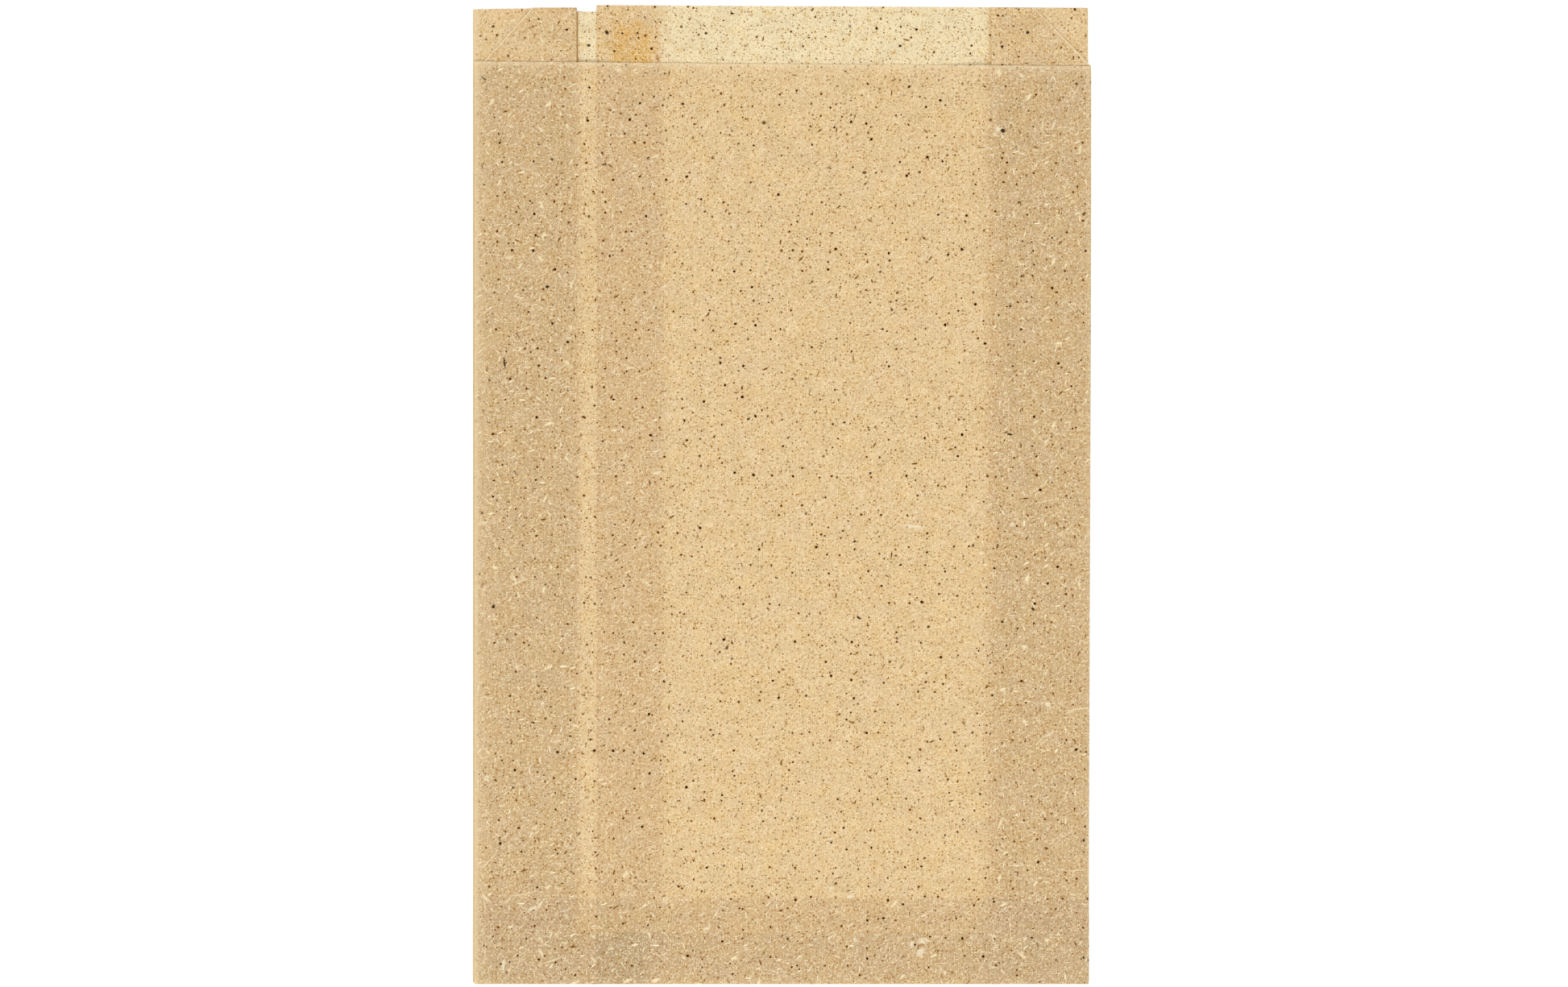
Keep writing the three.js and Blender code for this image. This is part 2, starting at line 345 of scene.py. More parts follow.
WING = LIP - FLAP  # the lip's corners are cut away at 45 degrees
LEFT_SLANT_START = 1.8  # from the left fold to where the gusset's slanting cut meets the front's
LEFT_SLANT, RIGHT_SLANT = math.radians(48), math.radians(46)
slant_left = left_front + LEFT_SLANT_START
slant_left_top = slant_left + (full_cut - front_cut_left) / math.tan(LEFT_SLANT)
slant_right_top = half_width - (full_cut - front_cut_right) / math.tan(RIGHT_SLANT)
print("slanting cuts reach the mouth at", round(slant_left_top, 1), "and", round(slant_right_top, 1))

# %% Back left part and the gusset's lower ply
NEAR_BACK_FOLD, NEAR_FRONT_FOLD = 2, 1  # the last points of a panel before its fold
FOLD_ROOM = PAPER + BODY_GAP
left_back_fold, left_inner_fold = fixed(left_back), fixed(left_inner)
back_left = [*steps(seam_outer, seam_inner), *steps(seam_inner, left_back + NEAR_BACK_FOLD)[1:]]
lower_left = steps(left_back + FOLD_ROOM, left_inner - FOLD_ROOM)[1:-1]


def back_left_cut(x):
    return bag_length - lerp(LEFT_CUT_DROP, SEAM_CUT_DROP, share(x, left_back, seam_outer))


def lower_left_cut(x):
    return lerp(bag_length - LEFT_CUT_DROP, full_cut, share(x, left_back, left_inner))


section = cut_off(
    stretch([*back_left, fold_start(left_back_fold, LEFT)], ply_height(0), DOWN), back_left_cut, FLAP
)
lower_left = [fold_start(left_back_fold, LEFT), *lower_left, fold_start(left_inner_fold, RIGHT)]
section += cut_off(
    turn(left_back_fold, LEFT, 0, rising=True, outward=1) + stretch(lower_left, ply_height(1), UP),
    lower_left_cut,
    FLAP,
)
section += cut_off(turn(left_inner_fold, RIGHT, 1, rising=True, outward=-1), full_cut, FLAP)
print("stations to the left gusset's inner fold:", len(section))

# %% The left gusset's upper ply
left_front_fold = fixed(left_front)
upper_left = [
    *steps(left_inner - FOLD_ROOM, slant_left_top)[1:],
    *steps(slant_left_top, left_front + WING)[1:],
    *steps(left_front + WING, slant_left)[1:],
]
upper_left = [fold_start(left_inner_fold, RIGHT), *upper_left, fold_start(left_front_fold, LEFT)]


def upper_left_cut(x):
    return lerp(front_cut_left, full_cut, share(x, slant_left, slant_left_top))


def left_wing(x):
    return lerp(LIP, FLAP, share(x, left_front, left_front + WING))


section += cut_off(
    stretch(upper_left, ply_height(2), DOWN) + turn(left_front_fold, LEFT, 2, rising=True, outward=1),
    upper_left_cut,
    left_wing,
)
print("stations to the front panel:", len(section))

# %% Front panel
right_at_bottom = half_width - FRONT_TAPER
front = [
    *steps(left_front + NEAR_FRONT_FOLD, left_inner),
    *steps(left_inner, right_inner)[1:],
    *steps(right_inner, right_at_bottom - NEAR_FRONT_FOLD)[1:],
]
front = [fold_start(left_front_fold, LEFT), *front, fold_start(right_front, RIGHT)]


def front_cut(x):
    return lerp(front_cut_left, front_cut_right, share(x, left_front, half_width))


section += cut_off(stretch(front, front_height, UP), front_cut, LIP)
print("stations to the right side fold:", len(section))

# %% Right gusset
right_inner_fold, right_back_fold = fixed(right_inner), fixed(right_back)
upper_right = [
    right_at_bottom - WING / 2,
    *steps(right_at_bottom - WING, slant_right_top),
    *steps(slant_right_top, right_inner + FOLD_ROOM)[1:-1],
]
upper_right = [fold_start(right_front, RIGHT), *upper_right, fold_start(right_inner_fold, LEFT)]
lower_right = steps(right_inner + FOLD_ROOM, right_back - FOLD_ROOM)[1:-1]
lower_right = [fold_start(right_inner_fold, LEFT), *lower_right, fold_start(right_back_fold, RIGHT)]


def upper_right_cut(x):
    return lerp(full_cut, front_cut_right, share(x, slant_right_top, half_width))


def right_wing(x):
    return lerp(FLAP, LIP, share(x, right_at_bottom - WING, right_at_bottom))


section += cut_off(
    turn(right_front, RIGHT, 2, rising=False, outward=1) + stretch(upper_right, ply_height(2), DOWN),
    upper_right_cut,
    right_wing,
)
section += cut_off(
    turn(right_inner_fold, LEFT, 1, rising=False, outward=-1)
    + stretch(lower_right, ply_height(1), UP)
    + turn(right_back_fold, RIGHT, 0, rising=False, outward=1),
    full_cut,
    FLAP,
)
print("stations to the right back part:", len(section))

# %% Back right part
SEAM_DROP_STEPS = 6
drop = seam_outer + SEAM_CLEAR
back_right = [
    fold_start(right_back_fold, RIGHT),
    *steps(right_back - NEAR_BACK_FOLD, right_inner),
    *steps(right_inner, drop + SEAM_DROP_RUN)[1:],
    *steps(drop + SEAM_DROP_RUN, drop, SEAM_DROP_RUN / SEAM_DROP_STEPS)[1:],
    *steps(drop, seam_inner)[1:],
]


def back_right_cut(x):
    return lerp(bag_length, full_cut, share(x, seam_inner, right_back))


section += cut_off(stretch(back_right, back_right_height, DOWN), back_right_cut, FLAP)
print("stations round the sheet:", len(section))

# %% [markdown]
# ## Along the tube
#
# The real tube was cut at both ends with knives and its bottom end turned over. The mesh could be
# cut with booleans, but they leave ragged faces. Instead, rows run from the cut end of the
# turned-over bottom, round the crease, and up the body to the cut edge of the mouth, and near both
# ends they follow each ply's own cut edge, so the edges come out crisp. The flat place of every
# point in the sheet is kept too: the paper's fibres are laid out in the flat sheet, so they run
# unbroken over the folds, as they do on the real bag.

# %% Rows
CREASE_FACES = 16
FLAP_SHARES = (1.0, 0.75, 0.5, 0.25)
STEP_ROWS, LIP_ROWS = 0.5, 0.8  # closer rows where the stack comes down a step
MOUTH_ROWS = 20.0  # the length of tube that is fitted to the cuts
MOUTH_SHARES = [i / 6 for i in range(1, 7)]
mouth_start = front_cut_left - MOUTH_ROWS
body_rows = sorted(
    {
        *steps(crease_z, FLAP + DRAPE_CLEAR),
        *steps(FLAP + DRAPE_CLEAR, LIP_GLUE_START, STEP_ROWS),
        *steps(LIP_GLUE_START, DRAPE_START, LIP_ROWS),
        *steps(DRAPE_START, DRAPE_START + LIP_DRAPE_RUN, STEP_ROWS),
        *steps(DRAPE_START + LIP_DRAPE_RUN, mouth_start),
    }
)[1:]
print("rows:", len(FLAP_SHARES) + CREASE_FACES + 1 + len(body_rows) + len(MOUTH_SHARES))


# %% One station's points
def column(at, cut, end):
    """A station's points along the tube: place, outward direction and length along the sheet."""
    x, height, sideways, upward = (values[0] for values in at(np.zeros(1)))
    radius = CREASE_RADIUS + height
    places, directions, along = [], [], []
    for part in FLAP_SHARES:
        up = lerp(crease_z, end, part)
        places.append((x, up, crease_z - radius))
        directions.append((sideways, 0, -upward))
        along.append(crease_z - math.pi * radius - (up - crease_z))
    for i in range(CREASE_FACES + 1):
        a = math.pi * (1 - i / CREASE_FACES)
        places.append((x, crease_z - radius * math.sin(a), crease_z + radius * math.cos(a)))
        directions.append((sideways, -upward * math.sin(a), upward * math.cos(a)))
        along.append(crease_z - a * radius)
    ups = np.array([*body_rows, *[lerp(mouth_start, cut, part) for part in MOUTH_SHARES]])
    for up, x, height, sideways, upward in zip(ups, *at(ups)):
        places.append((x, up, rest_height(up) + height + wave(x, up)))
        directions.append((sideways, 0, upward))
        along.append(up)
    return places, directions, along


columns = [column(*station) for station in section]
middle = np.array([places for places, directions, along in columns])
outward = np.array([directions for places, directions, along in columns])
sheet_up = np.array([along for places, directions, along in columns])
middle[:, :, 1] -= bag_length / 2
print("sheet along the bag, mm:", round(float(sheet_up.max() - sheet_up.min()), 1))

# %% Length round the bag
PLAIN_ROW = -len(MOUTH_SHARES) - 2  # a row of the plain tube, counted from the mouth
widths = np.linalg.norm(np.diff(middle[:, PLAIN_ROW], axis=0), axis=1)
sheet_round = np.concatenate([[0], np.cumsum(widths)])
print("sheet round the bag, mm:", round(float(sheet_round[-1]), 1))

# %% [markdown]
# ## The mesh
#
# Real paper has two faces and a thin cut edge. A Solidify modifier could thicken a single surface,
# but it knows nothing of the flat place of each point. So the mesh is closed by hand: an outer
# face, an inner face and a narrow rim where the sheet was cut. The flat place of each point is
# stored as an attribute called sheet, in millimetres, with 0 for the outer face and 1 for the
# inner one. The rim keeps sharp edges, so that its shading doesn't spill onto the faces.


# %% Faces of the sheet
def sheet_faces(outer, inner):
    """Faces between the numbered points of both sides. The rim's faces come last."""
    n, m = outer.shape
    faces = []
    for i in range(n - 1):
        for j in range(m - 1):
            faces.append((outer[i, j], outer[i + 1, j], outer[i + 1, j + 1], outer[i, j + 1]))
            faces.append((inner[i, j], inner[i, j + 1], inner[i + 1, j + 1], inner[i + 1, j]))
    rim_start = len(faces)
    for i in range(n - 1):
        faces.append((outer[i, 0], inner[i, 0], inner[i + 1, 0], outer[i + 1, 0]))
        faces.append((outer[i, -1], outer[i + 1, -1], inner[i + 1, -1], inner[i, -1]))
    for j in range(m - 1):
        faces.append((outer[0, j], outer[0, j + 1], inner[0, j + 1], inner[0, j]))
        faces.append((outer[-1, j], inner[-1, j], inner[-1, j + 1], outer[-1, j + 1]))
    return faces, rim_start


point_numbers = np.arange(2 * sheet_up.size).reshape(2, *sheet_up.shape)
faces, rim_start = sheet_faces(*point_numbers)
print("faces:", len(faces), "of them on the rim:", len(faces) - rim_start)

# %% Mesh
faces_apart = outward * PAPER / 2
points = np.concatenate([middle + faces_apart, middle - faces_apart]).reshape(-1, 3)
mesh = bpy.data.meshes.new("folded_sheet")
mesh.from_pydata([tuple(p) for p in points * MM], [], faces)
mesh.validate()

round_up = np.broadcast_to(sheet_round[:, None], sheet_up.shape)
flat_places = [np.stack([round_up, sheet_up, face + 0 * sheet_up], axis=2) for face in (0.0, 1.0)]
sheet_attribute = mesh.attributes.new("sheet", "FLOAT_VECTOR", "POINT")
sheet_attribute.data.foreach_set("vector", np.array(flat_places, np.float32).ravel())

mesh.polygons.foreach_set("use_smooth", np.arange(len(mesh.polygons)) < rim_start)
rim_edges = {key for face in mesh.polygons[rim_start:] for key in face.edge_keys}
for edge in mesh.edges:
    edge.use_edge_sharp = edge.key in rim_edges
mesh.update()
bag = bpy.data.objects.new("folded_sheet", mesh)
bpy.context.collection.objects.link(bag)
print("sharp edges:", len(rim_edges))

# %% [markdown]
# ## Grass paper
#
# The stock is unbleached paper of wood, grass and straw fibre, felted wet on a paper machine and
# left uncoated: matt, a little rough, cream to sand in colour, and at about 60 g/m2 translucent.
# One ply over a pale table looks cream. Each further ply makes it a shade darker and browner,
# until the stack is opaque. Real translucency could be traced through every ply, but that takes
# long to render and the exported model loses it. So the shader counts the plies at each place and
# looks the colour up, and specks of husk, needles of stalk and pale straw are drawn on top.


# %% Colours and nodes
def linear(hex_colour):
    """An sRGB hex colour as linear RGBA."""
    values = [int(hex_colour[i : i + 2], 16) / 255 for i in (0, 2, 4)]
    return [v / 12.92 if v <= 0.04045 else ((v + 0.055) / 1.055) ** 2.4 for v in values] + [1.0]


def add(tree, kind, inputs=None, **settings):
    """One node. An input is a plain value, an output, or a node, which stands for its first output."""
    made = tree.nodes.new("ShaderNode" + kind)
    for name, value in settings.items():
        setattr(made, name, value)
    for socket, value in (inputs or {}).items():
        if isinstance(value, bpy.types.Node):
            value = value.outputs[0]
        if isinstance(value, bpy.types.NodeSocket):
            tree.links.new(value, made.inputs[socket])
        else:
            made.inputs[socket].default_value = value
    return made


paper = bpy.data.materials.new("uncoated_grass_paper")
paper.use_nodes = True
tree = paper.node_tree
tree.nodes.clear()
print("one ply in linear light:", [round(v, 2) for v in linear("F1DEB3")])

# %% Places on the bag and in the sheet
on_bag = add(tree, "TexCoord").outputs["Object"]
on_bag_mm = add(tree, "VectorMath", {0: on_bag, "Scale": 1 / MM}, operation="SCALE")
bag_axes = add(tree, "SeparateXYZ", {0: on_bag_mm})
across = bag_axes.outputs["X"]
up = add(tree, "Math", {0: bag_axes.outputs["Y"], 1: bag_length / 2}, operation="ADD")
in_sheet = add(tree, "Attribute", attribute_name="sheet").outputs["Vector"]
print("nodes that give a place:", len(tree.nodes))

# %% [markdown]
# ### Counting the plies
#
# On the real bag each ply ends at a fold or a knife cut, and its edge shows through the plies
# above it, crisp where it is near the top and blurred where it is deep. The plies could be painted
# as regions, but the sum is simpler: a soft step at each edge gives 1 where the ply is and 0 where
# it is not, and all of them added up are the number of plies.


# %% Masks
def past(value, edge, blur):
    """0 below the edge and 1 above it, over blur to either side."""
    limits = {0: value, "From Min": edge - blur, "From Max": edge + blur}
    return add(tree, "MapRange", limits, interpolation_type="SMOOTHSTEP")


def before(value, edge, blur):
    """1 below the edge and 0 above it."""
    return add(tree, "Math", {0: 1.0, 1: past(value, edge, blur)}, operation="SUBTRACT")


def both(first, *others):
    """Where all the masks meet."""
    for mask in others:
        first = add(tree, "Math", {0: first, 1: mask}, operation="MULTIPLY")
    return first


def total(first, *others):
    """The masks added up."""
    for mask in others:
        first = add(tree, "Math", {0: first, 1: mask}, operation="ADD")
    return first


def around(value, amount, centre):
    """A noise from 0 to 1 spread over amount, around centre."""
    return add(tree, "Math", {0: value, 1: amount, 2: centre - amount / 2}, operation="MULTIPLY_ADD")


KNIFE = 0.06  # how sharp a knife cut is
print("a knife cut shows within", 2 * KNIFE, "mm")

# %% The knife cuts
cut_slope = (front_cut_right - front_cut_left) / bag_width
front_cut_middle = (front_cut_left + front_cut_right) / 2
cut_line = add(tree, "Math", {0: across, 1: cut_slope, 2: front_cut_middle}, operation="MULTIPLY_ADD")
above_cut = add(tree, "Math", {0: up, 1: cut_line}, operation="SUBTRACT")
front_ply = before(above_cut, 0.0, KNIFE)
above = past(above_cut, 0.0, KNIFE)

left_rise, right_rise = math.tan(LEFT_SLANT), -math.tan(RIGHT_SLANT)
left_line = {0: across, 1: left_rise, 2: -slant_left * left_rise}
right_line = {0: across, 1: right_rise, 2: -half_width * right_rise}
left_slant = add(tree, "Math", left_line, operation="MULTIPLY_ADD")
right_slant = add(tree, "Math", right_line, operation="MULTIPLY_ADD")
left_slant_gap = add(tree, "Math", {0: left_slant, 1: above_cut}, operation="SUBTRACT")
right_slant_gap = add(tree, "Math", {0: right_slant, 1: above_cut}, operation="SUBTRACT")
left_slant_ply = past(left_slant_gap, 0.0, KNIFE)
right_slant_ply = past(right_slant_gap, 0.0, KNIFE)
print("front's cut falls", round(-cut_slope * bag_width, 2), "mm from left to right")

# %% Plies of the gussets
LEFT_BLUR, RIGHT_BLUR = 1.4, 2.8  # the right gusset's inner fold lies looser under the front
left_veiled = both(front_ply, before(across, left_inner + 0.15, LEFT_BLUR))
left_side = total(left_veiled, both(above, before(across, left_inner, 0.25)))
right_veiled = both(front_ply, past(across, right_inner, RIGHT_BLUR))
right_side = total(right_veiled, both(above, past(across, right_inner - 0.6, 0.2)))
right_inside = total(right_veiled, both(above, past(across, right_inner + 1.2, 1.2)))
top_ply_share = total(both(above, 0.6), front_ply)  # uncovered, a gusset's top ply shows less
left_pair = total(left_side, both(left_side, left_slant_ply, top_ply_share))
right_pair = total(right_side, both(right_inside, right_slant_ply, top_ply_share))
print("gusset plies from", round(left_inner, 1), "and", round(right_inner, 1), "mm outwards")

# %% Plies of the seam
SEAM_RAG, SEAM_RAG_WIDE = 4.0, 1.3  # how far the seam's glued edge wanders, and over what length
rag_settings = {"Vector": in_sheet, "Scale": 1 / SEAM_RAG_WIDE, "Detail": 2.0, "Roughness": 0.5}
ragged_across = total(across, around(add(tree, "TexNoise", rag_settings), SEAM_RAG, 0.0))
in_seam = both(past(across, seam_inner, 0.1), before(ragged_across, seam_outer + 0.2, 1.4))
main_plies = total(1.0, in_seam, left_pair, right_pair, front_ply)
print("seam shows for", round(seam_outer - seam_inner, 1), "mm")

# %% Plies turned over to the back
FLAP_SEAM_SHIFT = -1.8  # the seam runs a little askew, so its turned-over part lies to the left
LIP_SHORT = 0.5  # light creeps under the lip's edge, so it shows this much short
UNDER_SHARE = 1.2  # these plies are creased hard and show a little more
flap_seam_start = past(across, seam_inner + FLAP_SEAM_SHIFT, 0.3)
flap_seam = both(flap_seam_start, before(across, seam_outer + FLAP_SEAM_SHIFT - 0.9, 0.9))
in_flap = before(up, FLAP, 0.35)
in_lip = before(up, LIP - LIP_SHORT, 0.7)
flap_plies = both(in_flap, total(1.0, flap_seam, left_side, left_side, right_side, right_side))
plies = total(main_plies, both(total(flap_plies, in_lip), UNDER_SHARE))
print("nodes that count the plies:", len(tree.nodes))

# %% [markdown]
# ### The colour of each count
#
# The first plies change the colour most, and past five the paper is opaque. A formula for light
# through paper could give these colours, but a ramp with one stop for each count is easier to
# match to the real bag.

# %% Ply colours
PLY_COLOURS = {1: "F1DEB3", 2: "E4C594", 3: "D6B587", 4: "CFB083", 5: "C8AA82", 8: "C6AA82"}
MOST = max(PLY_COLOURS)
ply_share = add(tree, "Math", {0: plies, 1: float(MOST)}, operation="DIVIDE")
ply_ramp = add(tree, "ValToRGB", {0: ply_share})
stops = ply_ramp.color_ramp.elements
for i, (count, colour) in enumerate(PLY_COLOURS.items()):
    stop = stops[i] if i < 2 else stops.new(1.0)
    stop.position = count / MOST
    stop.color = linear(colour)
tone = ply_ramp.outputs["Color"]
print("ramp stops:", [round(stop.position, 3) for stop in stops])

# %% [markdown]
# ### Glue
#
# Where starch paste soaked in, the paper turns darker, and by the mouth, where no front panel
# hides it, the dried paste shows as orange smears. A smear could be modelled as a thin film, but
# paste sinks into this paper and leaves no height, so it is a change of colour, broken up by a
# noise a few millimetres wide.


# %% Glue
def painted(under, mask, hex_colour):
    """The tone under, with a colour laid over it where the mask is 1."""
    laid = {0: mask, 6: under, 7: linear(hex_colour)}
    return add(tree, "Mix", laid, data_type="RGBA", clamp_factor=True).outputs[2]


SMEAR = 3.2  # wide
SMEAR_TOP = 186.6  # up the bag
smear_settings = {"Vector": in_sheet, "Scale": 1 / SMEAR, "Detail": 3.0, "Roughness": 0.6}
smears = past(add(tree, "TexNoise", smear_settings), 0.50, 0.10)
pasted_across = both(past(across, seam_inner + 3.2, 1.4), before(ragged_across, seam_outer - 2.0, 1.4))
pasted = both(above, pasted_across, before(up, SMEAR_TOP, 1.4))
tone = painted(tone, both(above, in_seam, 0.18), "D8B27A")
tone = painted(tone, both(pasted, total(0.30, both(0.42, smears))), "DCA746")
tone = painted(tone, both(in_flap, flap_seam, in_seam, 0.85), "B99F79")
print("smears", SMEAR, "mm wide, up to", SMEAR_TOP, "mm")

# %% [markdown]
# ### Cloud and grain
#
# On the real sheet the fibres settle in faint clouds a few millimetres wide, and over them lies a
# fine grain of felted fibres. One noise could do both with many octaves, but two are easier to
# match: one for the clouds, whose three channels change shade, hue and strength of colour apart
# from each other, and one for the grain. A real fibre is about 0.02 mm thick, too fine to show, so
# the grain is drawn 0.25 mm wide.

# %% Cloud and grain
CLOUD, GRAIN = 3.6, 0.25  # wide
cloud_settings = {"Vector": in_sheet, "Scale": 1 / CLOUD, "Detail": 3.0, "Roughness": 0.55}
cloud_noise = add(tree, "TexNoise", cloud_settings).outputs["Color"]
shade_cloud, strength_cloud, hue_cloud = add(tree, "SeparateColor", {0: cloud_noise}).outputs
grain_settings = {"Vector": in_sheet, "Scale": 1 / GRAIN, "Detail": 2.0, "Roughness": 0.75}
grain = add(tree, "TexNoise", grain_settings).outputs[0]
clouding = {
    "Hue": around(hue_cloud, 0.014, 0.5),
    "Saturation": around(strength_cloud, 0.30, 1.0),
    "Value": both(around(shade_cloud, 0.28, 1.0), around(grain, 0.70, 1.0)),
    "Color": tone,
}
tone = add(tree, "HueSaturation", clouding).outputs[0]
print("clouds", CLOUD, "mm and grain", GRAIN, "mm wide")

# %% Ochre patches
OCHRE_PATCH = 1.5  # wide, in the single ply by the mouth
ochre_settings = {"Vector": in_sheet, "Scale": 1 / OCHRE_PATCH, "Detail": 1.0, "Roughness": 0.5}
ochre = past(add(tree, "TexNoise", ochre_settings), 0.66, 0.06)
tone = painted(tone, both(above, ochre, 0.55), "E3BE79")
print("ochre patches", OCHRE_PATCH, "mm wide")

# %% [markdown]
# ### Flecks
#
# Bits of husk, stalk and straw lie scattered in the real sheet at all angles. They could be
# thousands of small meshes, but they lie in the paper and not on it. So each kind has its own grid
# of random cells, and a cell holds at most one fleck, at a random place and angle, with a length,
# a width and a chance of being there. Round specks, needles and fibres are one recipe with
# different numbers, all in millimetres.


# %% Fleck recipe
def flecks(cell, length, width, chance, blur, ragged, offset):
    """Two masks with one fleck a cell: the fleck, and the stain round it."""
    moved = add(tree, "VectorMath", {0: in_sheet, 1: (offset, offset * 1.7, 0.0)}, operation="ADD")
    if ragged:
        rough = add(tree, "TexNoise", {"Vector": moved, "Scale": 1.5 / length, "Detail": 1.0})
        bend = {0: rough.outputs["Color"], 1: (0.5, 0.5, 0.5)}
        bend = add(tree, "VectorMath", bend, operation="SUBTRACT")
        bend = add(tree, "VectorMath", {0: bend, "Scale": ragged}, operation="SCALE")
        moved = add(tree, "VectorMath", {0: moved, 1: bend}, operation="ADD")
    grid = {"Vector": moved, "Scale": 1 / cell, "Randomness": 1.0}
    cells = add(tree, "TexVoronoi", grid, voronoi_dimensions="2D", feature="F1")
    chances = add(tree, "SeparateColor", {0: cells.outputs["Color"]}).outputs
    local = add(tree, "VectorMath", {0: moved, 1: cells.outputs["Position"]}, operation="SUBTRACT")
    angle = add(tree, "Math", {0: chances[0], 1: math.tau}, operation="MULTIPLY")
    turned = add(tree, "VectorRotate", {"Vector": local, "Angle": angle}, rotation_type="Z_AXIS")
    fitted = {0: turned, 1: (2 / length, 2 / width, 0)}
    fitted = add(tree, "VectorMath", fitted, operation="MULTIPLY")
    from_middle = add(tree, "VectorMath", {0: fitted}, operation="LENGTH").outputs["Value"]
    size = around(chances[1], 0.8, 0.9)
    reach = add(tree, "Math", {0: from_middle, 1: size}, operation="DIVIDE")
    there = add(tree, "Math", {0: chances[2], 1: chance}, operation="LESS_THAN")
    boldness = both(there, around(chances[0], 1.1, 0.6))
    masks = before(reach, 1.0, blur), before(reach, 1.45, 0.65)
    return [
        add(tree, "Math", {0: mask, 1: boldness}, operation="MULTIPLY", use_clamp=True)
        for mask in masks
    ]


print("nodes before the flecks:", len(tree.nodes))

# %% Kinds of fleck
FLECKS = {
    # cell, length, width, chance, blur, ragged, strength, colour, kind
    # Felted fibres are really about 0.02 mm thick and are drawn wider, so that they show.
    "brown_felt": (0.36, 0.30, 0.14, 0.90, 0.6, 0.0, 0.74, "A47424", "felt"),
    "cream_felt": (0.42, 0.42, 0.15, 0.90, 0.6, 0.0, 0.85, "FFF0CC", "felt"),
    "husk_dust": (0.66, 0.24, 0.20, 0.66, 0.4, 0.1, 0.90, "8A560A", "husk"),
    "husk_speck": (1.9, 0.35, 0.30, 0.44, 0.2, 0.1, 1.70, "5A2A00", "husk"),
    "black_speck": (3.6, 0.44, 0.37, 0.48, 0.15, 0.1, 2.00, "2C0E00", "husk"),
    "stalk_needle": (3.6, 0.80, 0.20, 0.30, 0.4, 0.2, 1.20, "6A4000", "husk"),
    "straw_fleck": (0.90, 0.48, 0.26, 0.60, 0.6, 0.3, 0.76, "F6DFAE", "straw"),
    "straw_fibre": (2.0, 1.00, 0.20, 0.60, 0.4, 0.3, 1.00, "FFF1CC", "straw"),
    "long_fibre": (6.0, 3.80, 0.17, 0.60, 0.5, 0.6, 0.60, "FFEFC8", "straw"),
    "straw_chip": (5.2, 1.35, 0.42, 0.55, 0.7, 0.9, 1.00, "FAE7BC", "straw"),
}
HUSK_STAIN, STAIN_SHARE = "B27C1C", 0.5  # a brown stain round each dark bit
CELL_SHIFT = 13.7  # between the grids of two kinds
more_plies = past(plies, 2.4, 1.8)
straw_share = total(0.2, both(0.8, more_plies))  # straw stands out against darker plies
for i, (name, recipe) in enumerate(FLECKS.items()):
    *sizes, strength, colour, kind = recipe
    fleck, stain = flecks(*sizes, CELL_SHIFT * (i + 1))
    mask = both(fleck, strength)
    if kind == "straw":
        mask = both(mask, straw_share)
    if kind == "husk":
        tone = painted(tone, both(stain, STAIN_SHARE), HUSK_STAIN)
    tone = painted(tone, mask, colour)
    print(name, "at most one in", recipe[0], "mm")

# %% [markdown]
# ### Single marks
#
# A few larger bits stand out on this one sheet. An image could hold them, but each is only a small
# ellipse with a frayed outline, so they are listed one by one. Each lies on whichever ply is on top
# at its place, on one face of the sheet only, and nothing of it shows on the back.
# One of them is no bit but a painted shadow: the dark gap along the left side fold.


# %% Topmost ply
def on_top(x, height_up):
    """Where in the flat sheet the topmost ply lies at a place: round the bag, and which face."""
    found = []
    for i in range(len(section) - 1):
        a, b = middle[i, -1], middle[i + 1, -1]
        reaches = min(section[i][1], section[i + 1][1]) >= height_up
        if reaches and min(a[0], b[0]) <= x <= max(a[0], b[0]) and a[0] != b[0]:
            part = (x - a[0]) / (b[0] - a[0])
            place = lerp(sheet_round[i], sheet_round[i + 1], part)
            found.append((a[2], float(place), float(outward[i, -1, 2] < 0)))
    return max(found)[1:]


girth, face = on_top(0.0, bag_length / 2)
print("the middle of the front lies", round(girth, 1), "mm round the sheet, on face", int(face))

